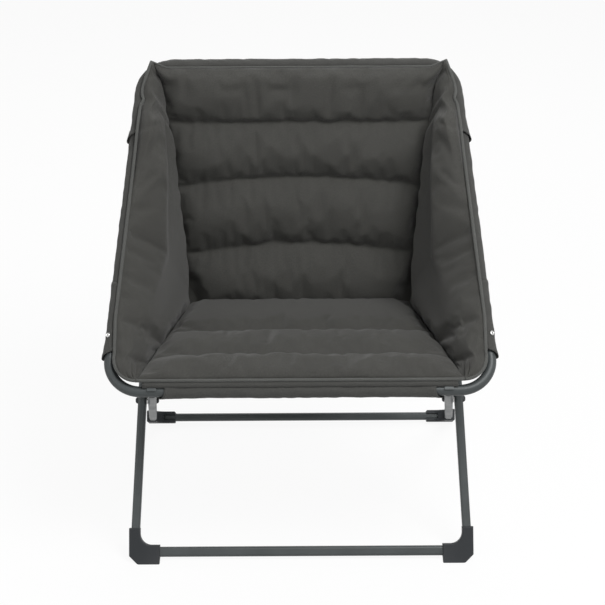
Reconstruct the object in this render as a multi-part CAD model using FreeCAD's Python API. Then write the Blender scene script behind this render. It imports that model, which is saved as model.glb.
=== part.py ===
import FreeCAD, Part
import math
import os

from FreeCAD import Placement, Rotation, Vector

os.makedirs("parts", exist_ok=True)

# Stance seen from the side: heights above the floor, depths behind the front base rail
BASE_RAIL_HEIGHT = 16.0
BASE_RAIL_SPACING = 594.0
FRONT_RAIL_FORWARD = 29.0
FRONT_RAIL_HEIGHT = 410.0
TOP_RAIL_BACK = 557.0
TOP_RAIL_HEIGHT = 900.0

# Leg frames: how far the tube centres stand inside the ring, and the flat-sided tube of legs and rails
BASE_INSIDE_RING = 40.0
LEG_TOP_INSIDE_ARM = 42.0
CROSS_GAP = 2.6
LEG_WIDE = 18.0
LEG_DEEP = 22.0
BASE_RAIL_DEEP = 18.0
BASE_RAIL_TALL = 21.0
LEG_CORNER = 6.0
LEG_WALL = 1.5
LEG_END_GAP = 0.6

# Ring frame: half widths of the tube centre where the side lines meet the rails, and its tube
RING_HALF_AT_FRONT = 390.0
RING_HALF_AT_TOP = 334.0
RING_TUBE = 22.0
RING_WALL = 1.5
RING_CORNER = 70.0
FRONT_CORNER_SHARE = 0.48
ARM_PIVOT_SHARE = 0.7802

# Fold: leg angle left when folded, and the angle left between the ring halves
FOLDED_LEG_ANGLE = 10.0
FOLDED_RING_ANGLE = 35.0

# Ring hinge: tube ends pressed flat and lapped
LAP_THICK = 5.0
LAP_TALL = 19.0
LAP_WASHER = 1.0
LAP_FLAT = 27.0
LAP_NECK = 25.0
LAP_PLUG = 6.0
HINGE_RIVET = 6.0
HINGE_HEAD = 11.0
HINGE_HEAD_TALL = 2.6

# Pivot bolts of the crossed legs and of the arms
BOLT = 8.0
BOLT_HEAD = 14.0
BOLT_HEAD_TALL = 5.0
HEAD_FLAT = 0.25
PIVOT_WASHER = 16.0
PIVOT_WASHER_THICK = 1.0
ARM_BUSH = 16.0

# Corner feet
FOOT_ARM = 64.0
FOOT_UP = 50.0
FOOT_OVER = 11.0
FOOT_POST = 23.0
FOOT_ROOF = 4.0
FOOT_DEEP = 27.0
FOOT_SOLE_BELOW = 30.0
FOOT_INNER_BEND = 24.0
FOOT_CORNER_CUT = 10.0
FOOT_EDGE = 2.5
FOOT_TROUGH = 12.0
FOOT_TROUGH_LONG = 34.0
RAIL_END_GAP = 3.0
FOOT_SCREW_IN = 34.0
FOOT_SCREW = 7.0
FOOT_SCREW_TALL = 2.2

# Straps that hook the rear legs over the front rail
STRAP_WIDE = 18.0
STRAP_THICK = 3.0
STRAP_LONG = 62.0
STRAP_RIVET_BACK = 44.0
STRAP_RIVET = 8.0
STRAP_RIVET_TALL = 2.0

# Fabric sleeves round the ring tube, with the places where they are cut, from the hinge and the arm pivot
SLEEVE_THICK = 2.2
SLEEVE_TO_STRAP = 7.0
SLEEVE_BELOW_HINGE = 57.0
SLEEVE_ABOVE_HINGE = 99.0
SLEEVE_BREAK = 5.0
SLEEVE_OFF_PIVOT = 34.0
SCREW_BELOW_HINGE = 3.0
SLEEVE_SCREW = 9.0
SLEEVE_SCREW_TALL = 2.4

# Padded cover: where seat and back meet, the quilted rolls, the side wings
BACK_LEAN = 121.0
SEAT_DROP = 30.0
SEAT_BACK_INSIDE = 96.0
BACK_OVER_RAIL = 6.0
BACK_RAIL_GAP = 5.0
BACK_STEP_BELOW = 39.0
BACK_STEP_LONG = 23.0
BACK_TOP_INSIDE = 34.0
BACK_SEAMS = (0.0, 0.254, 0.525, 0.766, 1.0)
SEAT_FRONT_INSIDE = 58.0
SEAT_BEHIND_RAIL = 2.3
SEAT_RAIL_GAP = 1.9
SEAT_SEAM_FIRST = 136.0
SEAT_SEAM_PITCH = 142.0
ROLL_CROWN = 48.0
SEAT_END_SHORT = 26.0
ROLL_SEAM = 17.0
PAD_EDGE = 14.0
WING_EDGE = 12.0
WING_PAD = 40.0
WING_CROWN = 20.0
WING_SAG = 10.0
WING_FRONT_UP = 35.0
WING_FRONT_TUCK = 16.0
WING_RISE = 4.0
WING_LEG_GAP = 5.0
WING_BOW = 8.0
WING_BELOW_HINGE = 53.0
WING_BELOW_TOP = 68.0
WING_OVER_PIVOT = 14.0
WING_PIVOT_REACH = 20.0
SEAM_GAP = 0.7

# Clearances
SOCKET_FIT = 0.1
RUNNING_FIT = 0.05
SOFT_FIT = 0.4
RAIL_FIT = 0.35
LAP_FIT = 0.1

nodes = {}


def add(name, *shapes):
    solids = [solid for shape in shapes for solid in shape.Solids]
    nodes[name] = solids[0] if len(solids) == 1 else Part.makeCompound(solids)


def mirrored(shape):
    return shape.mirror(Vector(0, 0, 0), Vector(1, 0, 0))


def add_pair(name, shape):
    add(name + "_right", shape)
    add(name + "_left", mirrored(shape))


def add_group(name, shape):
    add(name, shape, mirrored(shape))


def turned(point, degrees):
    angle = math.radians(degrees)
    return Vector(0, point.y * math.cos(angle) - point.z * math.sin(angle),
                  point.y * math.sin(angle) + point.z * math.cos(angle))


def slope(start, end):
    return math.degrees(math.atan2(end.z - start.z, end.y - start.y))


def frame(origin, degrees):
    return Placement(origin, Rotation(Vector(1, 0, 0), degrees))


def placed(shape, place):
    moved = shape.copy()
    moved.Placement = place.multiply(moved.Placement)
    return moved


def crossing(start, along, other, across):
    turn = along.y * across.z - along.z * across.y
    gap = other - start
    return start + along * ((gap.y * across.z - gap.z * across.y) / turn)


def rounded_section(centre, side, up, width, depth, radius):
    # Closed outline with rounded corners, in the plane of side and up
    half_w = width / 2
    half_d = depth / 2
    middle = radius * (1 - math.sqrt(0.5))
    points = []
    for sx, sy, first_side in ((1, 1, False), (-1, 1, True), (-1, -1, False), (1, -1, True)):
        on_side = (sx * half_w, sy * (half_d - radius))
        on_top = (sx * (half_w - radius), sy * half_d)
        on_arc = (sx * (half_w - middle), sy * (half_d - middle))
        points.append((on_top, on_arc, on_side) if first_side else (on_side, on_arc, on_top))
    place = [[centre + side * u + up * v for u, v in corner] for corner in points]
    edges = []
    for index, corner in enumerate(place):
        edges.append(Part.Arc(*corner).toShape())
        edges.append(Part.LineSegment(corner[2], place[(index + 1) % 4][0]).toShape())
    return Part.Wire(edges)


def flat_sided_tube(start, end, width, depth, grow=0.0, hollow=True):
    # Straight tube in a frame's plane; width lies in that plane, depth across it
    axis = end - start
    across = Vector(axis.y, -axis.x, 0).normalize()
    up = Vector(0, 0, 1)
    outer = rounded_section(start, across, up, width + 2 * grow, depth + 2 * grow, LEG_CORNER + grow)
    tube = Part.Face(outer).extrude(axis)
    if hollow:
        bore = rounded_section(start, across, up, width - 2 * LEG_WALL, depth - 2 * LEG_WALL,
                               LEG_CORNER - LEG_WALL)
        tube = tube.cut(Part.Face(bore).extrude(axis))
    return tube


def bent_path(points, radius):
    # Straight runs joined by tangent arcs
    edges = []
    last = points[0]
    for before, corner, after in zip(points, points[1:], points[2:]):
        back = (before - corner).normalize()
        ahead = (after - corner).normalize()
        half = back.getAngle(ahead) / 2
        reach = radius / math.tan(half)
        middle = corner + (back + ahead).normalize() * (radius / math.sin(half) - radius)
        enter = corner + back * reach
        leave = corner + ahead * reach
        edges.append(Part.LineSegment(last, enter).toShape())
        edges.append(Part.Arc(enter, middle, leave).toShape())
        last = leave
    edges.append(Part.LineSegment(last, points[-1]).toShape())
    return Part.Wire(edges)


def swept(points, corner_radius, tube_radius):
    path = bent_path(points, corner_radius) if len(points) > 2 else Part.Wire(
        [Part.LineSegment(*points).toShape()])
    axis = (points[1] - points[0]).normalize()
    ring = Part.Wire([Part.Circle(points[0], axis, tube_radius).toShape()])
    return path.makePipeShell([ring], True, False)


def pipe(points, outer_radius, inner_radius, corner=RING_CORNER):
    return swept(points, corner, outer_radius).cut(swept(points, corner, inner_radius))


def rod(x_from, x_to, diameter, along=0.0, out=0.0):
    return Part.makeCylinder(diameter / 2, x_to - x_from, Vector(x_from, along, out), Vector(1, 0, 0))


def dome(base, direction, diameter, tall):
    # Low rounded head with a small flat on top, standing on its flat face
    half = diameter / 2
    flat = half * HEAD_FLAT
    corners = [Vector(0, 0, 0), Vector(half, 0, 0), Vector(flat, 0, tall), Vector(0, 0, tall)]
    bulge = Vector(half * 0.75 + flat * 0.25, 0, tall * 0.65)
    outline = Part.Wire([Part.LineSegment(corners[0], corners[1]).toShape(),
                         Part.Arc(corners[1], bulge, corners[2]).toShape(),
                         Part.LineSegment(corners[2], corners[3]).toShape(),
                         Part.LineSegment(corners[3], corners[0]).toShape()])
    head = Part.Face(outline).revolve(Vector(0, 0, 0), Vector(0, 0, 1), 360)
    return placed(head, Placement(base, Rotation(Vector(0, 0, 1), direction)))


# Pivots of the fold in the side view: base rails, arm pivot, hook on the front rail, leg crossing
front_base = Vector(0, 0, BASE_RAIL_HEIGHT)
rear_base = Vector(0, BASE_RAIL_SPACING, BASE_RAIL_HEIGHT)
front_rail = Vector(0, -FRONT_RAIL_FORWARD, FRONT_RAIL_HEIGHT)
top_rail = Vector(0, TOP_RAIL_BACK, TOP_RAIL_HEIGHT)
ring_angle = slope(front_rail, top_rail)
ring_long = (top_rail - front_rail).Length
up_ring = turned(Vector(0, 1, 0), ring_angle)
arm_up_ring = ring_long * ARM_PIVOT_SHARE
arm_pivot = front_rail + up_ring * arm_up_ring
front_angle = slope(front_base, arm_pivot)
rear_angle = slope(rear_base, front_rail)
front_leg_long = (arm_pivot - front_base).Length
rear_leg_long = (front_rail - rear_base).Length
leg_cross = crossing(front_base, arm_pivot - front_base, rear_base, front_rail - rear_base)
cross_up_front = (leg_cross - front_base).Length
cross_up_rear = (leg_cross - rear_base).Length

# The ring hinge sits where the ring closes on itself as the legs close
arm_reach = (arm_pivot - leg_cross).Length
rail_reach = (front_rail - leg_cross).Length
folded_span = math.sqrt(arm_reach ** 2 + rail_reach ** 2
                        - 2 * arm_reach * rail_reach * math.cos(math.radians(FOLDED_LEG_ANGLE)))
closing = (arm_up_ring ** 2 - folded_span ** 2) / (2 + 2 * math.cos(math.radians(FOLDED_RING_ANGLE)))
hinge_up_ring = (arm_up_ring - math.sqrt(arm_up_ring ** 2 - 4 * closing)) / 2
hinge_to_arm = arm_up_ring - hinge_up_ring
ring_hinge = front_rail + up_ring * hinge_up_ring
leg_fold = rear_angle - front_angle - FOLDED_LEG_ANGLE
rail_side = math.degrees(math.asin(rail_reach * math.sin(math.radians(FOLDED_LEG_ANGLE)) / folded_span))
arm_corner = math.degrees(math.acos((hinge_to_arm ** 2 + folded_span ** 2 - hinge_up_ring ** 2)
                                    / (2 * hinge_to_arm * folded_span)))
ring_swing = front_angle - ring_angle + arm_corner - rail_side
hinge_turn = 180.0 - FOLDED_RING_ANGLE

front_frame = frame(front_base, front_angle)
rear_frame = frame(rear_base, rear_angle)
ring_frame = frame(front_rail, ring_angle)


def ring_half(up):
    return RING_HALF_AT_FRONT + (RING_HALF_AT_TOP - RING_HALF_AT_FRONT) * up / ring_long


# Half spacings of the legs: the rear legs pass just inside the front legs where they cross
base_half = RING_HALF_AT_FRONT - BASE_INSIDE_RING
front_leg_top_half = ring_half(arm_up_ring) - LEG_TOP_INSIDE_ARM


def front_leg_half(up):
    return base_half + (front_leg_top_half - base_half) * up / front_leg_long


rear_cross_half = front_leg_half(cross_up_front) - LEG_WIDE - CROSS_GAP


def rear_leg_half(up):
    return base_half + (rear_cross_half - base_half) * up / cross_up_rear


# Corner foot: an L-shaped moulding with a socket for the leg and a trough for the base rail
def corner_foot(leg_half, frame_angle):
    outer = base_half + FOOT_OVER
    inner = outer - FOOT_ARM
    post = outer - FOOT_POST
    roof = BASE_RAIL_TALL / 2 + FOOT_ROOF
    bend = FOOT_INNER_BEND
    bow = bend * (1 - math.sqrt(0.5))
    below = -FOOT_SOLE_BELOW
    floor_line = -BASE_RAIL_HEIGHT / math.sin(math.radians(frame_angle))
    corner = floor_line + FOOT_CORNER_CUT
    face = -FOOT_DEEP / 2

    def at(x, up):
        return Vector(x, up, face)

    lean = FOOT_CORNER_CUT * (corner - below) / (corner - floor_line)
    edges = [
        Part.LineSegment(at(inner, below), at(outer - lean, below)).toShape(),
        Part.LineSegment(at(outer - lean, below), at(outer, corner)).toShape(),
        Part.LineSegment(at(outer, corner), at(outer, FOOT_UP)).toShape(),
        Part.LineSegment(at(outer, FOOT_UP), at(post, FOOT_UP)).toShape(),
        Part.LineSegment(at(post, FOOT_UP), at(post, roof + bend)).toShape(),
        Part.Arc(at(post, roof + bend), at(post - bow, roof + bow), at(post - bend, roof)).toShape(),
        Part.LineSegment(at(post - bend, roof), at(inner, roof)).toShape(),
        Part.LineSegment(at(inner, roof), at(inner, below)).toShape(),
    ]
    foot = Part.Face(Part.Wire(edges)).extrude(Vector(0, 0, FOOT_DEEP))
    rim = [edge for edge in foot.Edges
           if edge.Length > FOOT_EDGE and abs(edge.BoundBox.ZMax - edge.BoundBox.ZMin) < FOOT_EDGE / 2
           and edge.BoundBox.YMax > below + FOOT_EDGE]
    foot = foot.makeFillet(FOOT_EDGE, rim)
    rail = flat_sided_tube(Vector(inner - FOOT_ARM, 0, 0), Vector(post - RAIL_END_GAP, 0, 0),
                           BASE_RAIL_TALL, BASE_RAIL_DEEP, SOCKET_FIT, False)
    leg = flat_sided_tube(Vector(leg_half(leg_start), leg_start, 0),
                          Vector(leg_half(FOOT_UP * 2), FOOT_UP * 2, 0),
                          LEG_WIDE, LEG_DEEP, SOCKET_FIT, False)
    trough = Part.makeBox(FOOT_TROUGH_LONG, 2 * FOOT_ROOF, FOOT_TROUGH,
                          Vector(inner, BASE_RAIL_TALL / 2 - FOOT_ROOF / 2, -FOOT_TROUGH / 2))
    return foot.cut(rail).cut(leg).cut(trough)


def on_floor(shape):
    room = shape.BoundBox
    above = Part.makeBox(room.XLength + 2, room.YLength + 2, room.ZMax + 2,
                         Vector(room.XMin - 1, room.YMin - 1, 0))
    return shape.common(above)


leg_start = -LEG_CORNER
rail_end = base_half + FOOT_OVER - FOOT_POST - RAIL_END_GAP - SOCKET_FIT
screw_at = base_half + FOOT_OVER - FOOT_SCREW_IN
base_rail = flat_sided_tube(Vector(-rail_end, 0, 0), Vector(rail_end, 0, 0), BASE_RAIL_TALL, BASE_RAIL_DEEP)
foot_screw = dome(Vector(screw_at, BASE_RAIL_TALL / 2, 0), Vector(0, 1, 0), FOOT_SCREW, FOOT_SCREW_TALL)

# Front leg frame: base rail, two long legs up to the arms, two feet
leg_top = front_leg_long - LEG_DEEP / 2
front_leg = flat_sided_tube(Vector(front_leg_half(leg_start), leg_start, 0),
                            Vector(front_leg_half(leg_top), leg_top, 0), LEG_WIDE, LEG_DEEP)
cross_hole = rod(0, 2 * base_half, BOLT + 2 * RUNNING_FIT, cross_up_front)
arm_hole = rod(0, 2 * base_half, BOLT + 2 * RUNNING_FIT, front_leg_long)
cap_from = Vector(front_leg_top_half - LEG_WIDE / 2, front_leg_long, 0)
front_cap = Part.makeCylinder(LEG_DEEP / 2, LEG_WIDE, cap_from, Vector(1, 0, 0))
cap_neck = LEG_DEEP / 2 - LEG_END_GAP
front_cap = front_cap.fuse(Part.makeBox(LEG_WIDE, cap_neck, LEG_DEEP,
                                        cap_from - Vector(0, cap_neck, LEG_DEEP / 2)))
front_cap = front_cap.removeSplitter().cut(arm_hole)
add("front_base_rail", placed(base_rail, front_frame))
add_pair("front_leg", placed(front_leg.cut(cross_hole), front_frame))
add_pair("front_foot", on_floor(placed(corner_foot(front_leg_half, front_angle), front_frame)))
add_group("front_foot_screws", placed(foot_screw, front_frame))
add_group("front_leg_end_caps", placed(front_cap, front_frame))

# Rear leg frame: the same base, shorter legs that end behind the front rail
rear_leg_top = rear_leg_long - RING_TUBE / 2 - RAIL_FIT - STRAP_THICK - SOFT_FIT
rear_leg = flat_sided_tube(Vector(rear_leg_half(leg_start), leg_start, 0),
                           Vector(rear_leg_half(rear_leg_top), rear_leg_top, 0), LEG_WIDE, LEG_DEEP)
rear_cross_hole = rod(0, 2 * base_half, BOLT + 2 * RUNNING_FIT, cross_up_rear)
add("rear_base_rail", placed(base_rail, rear_frame))
add_pair("rear_leg", placed(rear_leg.cut(rear_cross_hole), rear_frame))
add_pair("rear_foot", on_floor(placed(corner_foot(rear_leg_half, rear_angle), rear_frame)))
add_group("rear_foot_screws", placed(foot_screw, rear_frame))

# Strap riveted to the upper face of a rear leg, hooked over the front rail
hook_in = RING_TUBE / 2 + RAIL_FIT
hook_out = hook_in + STRAP_THICK
strap_x = rear_leg_half(rear_leg_long) - STRAP_WIDE / 2
hook_centre = Vector(strap_x, rear_leg_long, 0)
hook = Part.makeCylinder(hook_out, STRAP_WIDE, hook_centre, Vector(1, 0, 0))
hook = hook.cut(Part.makeCylinder(hook_in, STRAP_WIDE, hook_centre, Vector(1, 0, 0)))
hook = hook.common(Part.makeBox(STRAP_WIDE, 2 * hook_out, hook_out,
                                Vector(strap_x, rear_leg_long - hook_out, -hook_out)))
strap = Part.makeBox(STRAP_WIDE, STRAP_LONG, STRAP_THICK,
                     Vector(strap_x, rear_leg_long - STRAP_LONG, -hook_out)).fuse(hook).removeSplitter()
rivet_at = rear_leg_long - STRAP_RIVET_BACK
strap_rivet = dome(Vector(rear_leg_half(rear_leg_long), rivet_at, -hook_out), Vector(0, 0, -1),
                   STRAP_RIVET, STRAP_RIVET_TALL)
add_pair("rail_strap", placed(strap, rear_frame))
add_group("rail_strap_rivets", placed(strap_rivet, rear_frame))

# Crossing pivot: bolt through both legs, washer between them, a domed cap at each end
front_inside = front_leg_half(cross_up_front) - LEG_WIDE / 2
front_outside = front_leg_half(cross_up_front) + LEG_WIDE / 2
rear_inside = rear_leg_half(cross_up_rear) - LEG_WIDE / 2
rear_outside = rear_leg_half(cross_up_rear) + LEG_WIDE / 2
washer_from = (front_inside + rear_outside - PIVOT_WASHER_THICK) / 2
cap_stand = BOLT_HEAD / 2 * (base_half - rear_cross_half) / cross_up_rear
at_cross = frame(leg_cross, front_angle)
cross_bolt = rod(rear_inside - cap_stand, front_outside + cap_stand, BOLT)
cross_caps = dome(Vector(front_outside + cap_stand, 0, 0), Vector(1, 0, 0), BOLT_HEAD, BOLT_HEAD_TALL)
cross_inner_caps = dome(Vector(rear_inside - cap_stand, 0, 0), Vector(-1, 0, 0), BOLT_HEAD, BOLT_HEAD_TALL)
cross_washer = rod(washer_from, washer_from + PIVOT_WASHER_THICK, PIVOT_WASHER).cut(
    rod(0, 2 * base_half, BOLT + 2 * RUNNING_FIT))
add_group("leg_pivot_bolts", placed(cross_bolt, at_cross))
add_group("leg_pivot_outer_caps", placed(cross_caps, at_cross))
add_group("leg_pivot_inner_caps", placed(cross_inner_caps, at_cross))
add_group("leg_pivot_washers", placed(cross_washer, at_cross))

# Ring of two bent tubes; the ends are pressed flat and lapped at the hinge
hinge_x = ring_half(hinge_up_ring)
ring_radius = RING_TUBE / 2
flat_at = LAP_FLAT
round_at = LAP_FLAT + LAP_NECK
lap_offset = (LAP_WASHER + 2 * LAP_FIT + LAP_THICK) / 2


def arm_point(up):
    return Vector(ring_half(up), up, 0)


def pressed_end(way, side):
    # Neck from round tube to a flat tongue with a rounded, drilled end
    start = arm_point(hinge_up_ring + way * round_at)
    plug = RING_TUBE - RING_WALL
    inside = arm_point(hinge_up_ring + way * (round_at + LAP_PLUG))
    core = Part.makeCylinder(plug / 2, LAP_PLUG, start, inside - start)
    middle = Vector(hinge_x + side * lap_offset, hinge_up_ring + way * flat_at, 0)
    near_round = rounded_section(start, Vector(1, 0, 0), Vector(0, 0, 1), plug, plug, plug / 2 - LAP_FIT)
    near_flat = rounded_section(middle, Vector(1, 0, 0), Vector(0, 0, 1), LAP_THICK, LAP_TALL,
                                LAP_THICK / 2 - LAP_FIT)
    neck = Part.makeLoft([near_round, near_flat], True, True)
    pin = Vector(middle.x - LAP_THICK / 2, hinge_up_ring, 0)
    low = min(0.0, way * flat_at)
    tongue = Part.makeBox(LAP_THICK, flat_at, LAP_TALL, pin + Vector(0, low, -LAP_TALL / 2))
    tongue = tongue.fuse(Part.makeCylinder(LAP_TALL / 2, LAP_THICK, pin, Vector(1, 0, 0)))
    return neck.fuse([core, tongue]).cut(rod(0, 2 * hinge_x, HINGE_RIVET + 2 * RUNNING_FIT, hinge_up_ring))


def ring_tube(points, corner, way, side):
    ends = pressed_end(way, side)
    tube = pipe(points, ring_radius, ring_radius - RING_WALL, corner)
    return tube.fuse([ends, mirrored(ends)]).removeSplitter()


def both_sides(points):
    return points + [Vector(-p.x, p.y, p.z) for p in reversed(points)]


top_corner = Vector(RING_HALF_AT_TOP, ring_long, 0)
front_corner = Vector(RING_HALF_AT_FRONT, 0, 0)
back_ring = ring_tube(both_sides([arm_point(hinge_up_ring + round_at), top_corner]), RING_CORNER, 1, -1)
back_ring = back_ring.cut(rod(-2 * hinge_x, 2 * hinge_x, BOLT + 2 * RUNNING_FIT, arm_up_ring))
front_bend = hinge_up_ring * FRONT_CORNER_SHARE
front_ring = ring_tube(both_sides([arm_point(hinge_up_ring - round_at), front_corner]), front_bend, -1, 1)
add("back_ring_tube", placed(back_ring, ring_frame))
add("front_ring_tube", placed(front_ring, ring_frame))

# Rivet and washer of the ring hinge
head_at = lap_offset + LAP_THICK / 2 + LAP_FIT
hinge_rivet = rod(hinge_x - head_at, hinge_x + head_at, HINGE_RIVET, hinge_up_ring)
for way in (1, -1):
    head = Vector(hinge_x + way * head_at, hinge_up_ring, 0)
    hinge_rivet = hinge_rivet.fuse(dome(head, Vector(way, 0, 0), HINGE_HEAD, HINGE_HEAD_TALL))
lap_washer = rod(hinge_x - LAP_WASHER / 2, hinge_x + LAP_WASHER / 2, LAP_TALL - 2, hinge_up_ring).cut(
    rod(0, 2 * hinge_x, HINGE_RIVET + 2 * RUNNING_FIT, hinge_up_ring))
add_group("ring_hinge_rivets", placed(hinge_rivet, ring_frame))
add_group("ring_hinge_washers", placed(lap_washer, ring_frame))

# Arm pivot: bolt from the leg top through a bush into the ring's arm
arm_x = ring_half(arm_up_ring)
bush_from = front_leg_top_half + LEG_WIDE / 2 + LAP_FIT
bush_to = arm_x - ring_radius - SOFT_FIT
bolt_from = front_leg_top_half - LEG_WIDE / 2 - LAP_FIT
bolt_to = arm_x + ring_radius + SOFT_FIT
arm_bolt = rod(bolt_from, bolt_to, BOLT, arm_up_ring)
for at_x, way in ((bolt_from, -1), (bolt_to, 1)):
    head = Vector(at_x, arm_up_ring, 0)
    arm_bolt = arm_bolt.fuse(dome(head, Vector(way, 0, 0), BOLT_HEAD, BOLT_HEAD_TALL))
arm_bush = rod(bush_from, bush_to, ARM_BUSH, arm_up_ring).cut(
    rod(0, 2 * hinge_x, BOLT + 2 * RUNNING_FIT, arm_up_ring))
add_group("arm_pivot_bolts", placed(arm_bolt, ring_frame))
add_group("arm_pivot_bushes", placed(arm_bush, ring_frame))

# Fabric sleeves that carry the padded cover on the ring
sleeve_in = ring_radius + SOFT_FIT
sleeve_out = sleeve_in + SLEEVE_THICK


def sleeve(points):
    return pipe(points, sleeve_out, sleeve_in)


hinge_sleeve_end = hinge_up_ring + SLEEVE_ABOVE_HINGE
front_sleeve_half = rear_leg_half(rear_leg_long) - STRAP_WIDE / 2 - SLEEVE_TO_STRAP
top_sleeve = sleeve(both_sides([arm_point(arm_up_ring + SLEEVE_OFF_PIVOT), top_corner]))
arm_sleeve = sleeve([arm_point(hinge_sleeve_end + SLEEVE_BREAK), arm_point(arm_up_ring - SLEEVE_OFF_PIVOT)])
hinge_sleeve = sleeve([arm_point(hinge_up_ring - SLEEVE_BELOW_HINGE), arm_point(hinge_sleeve_end)])
front_sleeve = sleeve([Vector(-front_sleeve_half, 0, 0), Vector(front_sleeve_half, 0, 0)])
sleeve_screw = dome(arm_point(hinge_up_ring - SCREW_BELOW_HINGE) + Vector(0, 0, sleeve_out), Vector(0, 0, 1),
                    SLEEVE_SCREW, SLEEVE_SCREW_TALL)
add("top_sleeve", placed(top_sleeve, ring_frame))
add_pair("arm_sleeve", placed(arm_sleeve, ring_frame))
add_pair("hinge_sleeve", placed(hinge_sleeve, ring_frame))
add("front_sleeve", placed(front_sleeve, ring_frame))
add_group("sleeve_screws", placed(sleeve_screw, ring_frame))

# Back and seat pads: quilted rolls across, drawn in towards the side seams
seat_back = Vector(0, TOP_RAIL_BACK - BACK_LEAN, FRONT_RAIL_HEIGHT - SEAT_DROP)
seat_front = front_rail + Vector(0, SEAT_BEHIND_RAIL, sleeve_out + SEAT_RAIL_GAP)
seat_back_half = RING_HALF_AT_TOP - SEAT_BACK_INSIDE
seat_front_half = RING_HALF_AT_FRONT - SEAT_FRONT_INSIDE
back_top_half = RING_HALF_AT_TOP - BACK_TOP_INSIDE
back_rail_up = (top_rail - seat_back).Length
back_long = back_rail_up + BACK_OVER_RAIL
back_step_out = sleeve_out + BACK_RAIL_GAP
back_under = [(back_rail_up - BACK_STEP_BELOW, 0.0),
              (back_rail_up - BACK_STEP_BELOW + BACK_STEP_LONG, back_step_out),
              (back_long, back_step_out)]
back_angle = slope(seat_back, top_rail)
seat_angle = slope(seat_front, seat_back)
seat_long = (seat_back - seat_front).Length
back_frame = frame(seat_back, back_angle)
seat_frame = frame(seat_front, seat_angle)
PAD_STATIONS = ((-1.0, 0.0), (-0.95, 0.52), (-0.84, 0.84), (-0.45, 1.0), (0.45, 1.0), (0.84, 0.84), (0.95, 0.52), (1.0, 0.0))


def quilted_pad(seams, half_start, half_end, under):
    # Sections across the pad, each with one arc per roll on its upper side; under is the line of the lower side
    long, step_out = under[-1]
    sections = []
    for share, fullness in PAD_STATIONS:
        def at(up, out):
            return Vector(share * (half_start + (half_end - half_start) * up / long), up, out)

        seam_out = PAD_EDGE + (ROLL_SEAM - PAD_EDGE) * fullness
        crown_out = PAD_EDGE * 1.1 + (ROLL_CROWN - PAD_EDGE * 1.1) * fullness
        heights = [PAD_EDGE] + [seam_out] * (len(seams) - 2) + [step_out + PAD_EDGE]
        corners = [at(0, PAD_EDGE), at(0, 0)] + [at(*corner) for corner in under] + [at(long, heights[-1])]
        edges = [Part.LineSegment(start, end).toShape() for start, end in zip(corners, corners[1:])]
        for index in reversed(range(len(seams) - 1)):
            low, high = seams[index], seams[index + 1]
            top = crown_out + (step_out / 2 if high == long else 0.0)
            edges.append(Part.Arc(at(high, heights[index + 1]), at((low + high) / 2, top),
                                  at(low, heights[index])).toShape())
        sections.append(Part.Wire(edges))
    return Part.makeLoft(sections, True, True)


back_seams = [back_long * share for share in BACK_SEAMS]
seat_seams = [0.0]
seam = SEAT_SEAM_FIRST
while seam < seat_long - SEAT_SEAM_PITCH:
    seat_seams.append(seam)
    seam += SEAT_SEAM_PITCH
seat_seams.append(seat_long - SEAT_END_SHORT)
back_pad = quilted_pad(back_seams, seat_back_half, back_top_half, back_under)
seat_pad = quilted_pad(seat_seams, seat_front_half, seat_back_half, [(seat_seams[-1], 0.0)])
add("back_pad", placed(back_pad, back_frame))
add("seat_pad", placed(seat_pad, seat_frame))


# Side wings: padded triangles between the ring's arm and the side seams of back and seat
def in_ring(point):
    away = point - front_rail
    return turned(away, -ring_angle)


def seam_point(up, out):
    # Point of the side seam at a height up the ring, out of the pad's underside by out
    corner = in_ring(seat_back)
    if up >= corner.y:
        origin, angle, run, half = seat_back, back_angle, back_long, (seat_back_half, back_top_half)
    else:
        origin, angle, run, half = seat_front, seat_angle, seat_long, (seat_front_half, seat_back_half)
    start = in_ring(origin + turned(Vector(0, 0, out), angle))
    step = in_ring(origin + turned(Vector(0, 1, out), angle)) - start
    along = (up - start.y) / step.y
    share = min(max(along / run, 0.0), 1.0)
    return Vector(half[0] + (half[1] - half[0]) * share + SEAM_GAP, up, start.z + step.z * along)


leg_drop = math.tan(math.radians(front_angle - ring_angle))
leg_step = math.cos(math.radians(front_angle - ring_angle))
leg_tall = LEG_DEEP / 2 / leg_step
leg_clear = leg_tall + WING_LEG_GAP


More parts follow.
